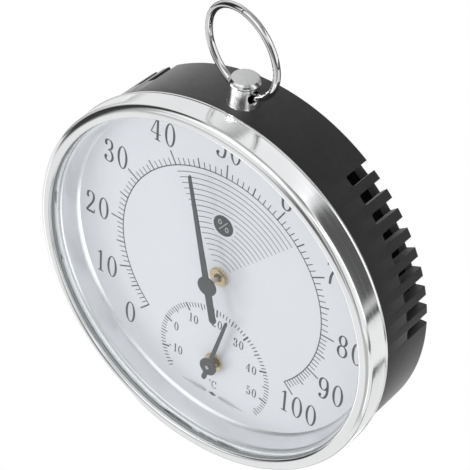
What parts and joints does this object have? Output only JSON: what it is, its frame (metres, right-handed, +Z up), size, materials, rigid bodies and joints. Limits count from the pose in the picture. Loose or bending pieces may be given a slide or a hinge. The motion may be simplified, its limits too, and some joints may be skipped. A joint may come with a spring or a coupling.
{
  "type": "dial thermo-hygrometer",
  "caption": "Round hanging dial instrument that shows relative humidity and air temperature, in a vented case with a polished bezel, a knob and a wire ring.",
  "frame": {"origin": "centre of the case's flat back face, the face that lies on the wall", "axes": "+Z up towards the knob and the ring, -Y out of the dial towards the viewer, +X to the viewer's right"},
  "size_m": [0.1, 0.0247, 0.125],
  "materials": {
    "black_case": "black moulded plastic with a fine grain",
    "polished_aluminium": "spun and polished",
    "satin_aluminium": "satin, bright",
    "clear_glass": "clear and flat",
    "clear_gasket": "clear silicone, milky, dark where it lies under the lip",
    "dial_silver": "silver white with a fine satin, printed in dark grey",
    "brass": "turned and lightly lacquered",
    "steel": "drawn steel",
    "hand_grey": "dark grey enamel",
    "coated_strip": "bronze strip with a dull moisture-taking film",
    "bimetal": "two-metal strip",
    "chrome": "turned and chrome plated",
    "zinc_steel": "zinc-plated steel",
    "nickel_wire": "round wire, nickel plated and bright"
  },
  "bodies": {
    "housing": {"case": "black_case", "bezel": "polished_aluminium", "lens": "clear_glass", "lens_gasket": "clear_gasket", "reflector_ring": "satin_aluminium", "dial_plate": "dial_silver", "humidity_bush": "brass", "humidity_bush_nut": "brass", "humidity_frame": "brass", "humidity_rear_bush": "brass", "lever_clip": "steel", "temperature_bush": "brass", "temperature_bush_nut": "brass", "temperature_frame": "brass", "temperature_anchor": "brass", "temperature_coil": "bimetal", "hanger_knob": "chrome", "hanger_washer": "zinc_steel", "hanger_nut": "zinc_steel"},
    "calibration": {"calibration_lever": "brass", "humidity_coil": "coated_strip"},
    "humidity_movement": {"humidity_spindle": "steel", "humidity_coil_collet": "brass", "humidity_hand_collet": "brass", "humidity_hand": "hand_grey"},
    "temperature_movement": {"temperature_spindle": "steel", "temperature_coil_collet": "brass", "temperature_hand_collet": "brass", "temperature_hand": "hand_grey"},
    "ring": {"hanging_ring": "nickel_wire"}
  },
  "joints": [
    {"name": "calibration_turn", "type": "hinge", "parent": "housing", "child": "calibration", "pos_m": [0, -0.0045, 0], "axis": [0, 1, 0], "range_deg": [-15, 15]},
    {"name": "humidity_hand_turn", "type": "hinge", "parent": "calibration", "child": "humidity_movement", "pos_m": [0, -0.0135, 0], "axis": [0, 1, 0], "range_deg": [-122.5, 148.1], "deforming": ["humidity_coil"]},
    {"name": "temperature_hand_turn", "type": "hinge", "parent": "housing", "child": "temperature_movement", "pos_m": [0, -0.0135, -0.0277], "axis": [0, 1, 0], "range_deg": [-139.8, 109.4], "deforming": ["temperature_coil"]},
    {"name": "ring_swing", "type": "hinge", "parent": "housing", "child": "ring", "pos_m": [0, -0.0106, 0.05194], "axis": [0.9703, -0.2419, 0], "range_deg": [-105, 90]}
  ]
}
